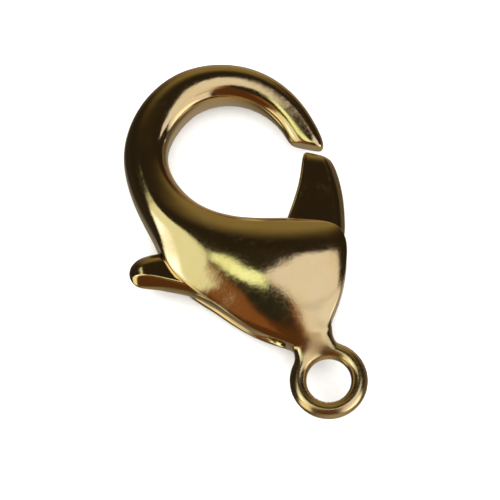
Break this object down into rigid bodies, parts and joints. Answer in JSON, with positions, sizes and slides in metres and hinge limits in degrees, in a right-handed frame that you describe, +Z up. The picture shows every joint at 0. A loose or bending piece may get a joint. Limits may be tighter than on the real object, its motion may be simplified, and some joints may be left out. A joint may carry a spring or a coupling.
{
  "type": "lobster clasp",
  "caption": "Teardrop lobster clasp with a sprung lever gate, a hooked nose and an end ring for a jump ring.",
  "frame": {"origin": "middle of the clasp's own box, on the table it lies on", "axes": "+Y runs from the end ring to the top of the hook, +X to the gate's side and +Z up through the casting's thickness"},
  "size_m": [0.0137, 0.023, 0.0046],
  "materials": {
    "gold_casting": "polished gold plate",
    "gold_lever": "polished gold plate",
    "pin_steel": "plain",
    "spring_steel": "plain"
  },
  "bodies": {
    "clasp": {"clasp_body": "gold_casting", "pivot_pin": "pin_steel", "return_spring": "spring_steel"},
    "gate": {"lever": "gold_lever"}
  },
  "joints": [
    {"name": "lever_hinge", "type": "hinge", "parent": "clasp", "child": "gate", "pos_m": [0.00088, -0.00396, 0.0023], "axis": [0, 0, 1], "range_deg": [0, 22], "stiffness_Nm_per_rad": 0.03, "springref_deg": -11.46, "deforming": ["return_spring"]}
  ]
}
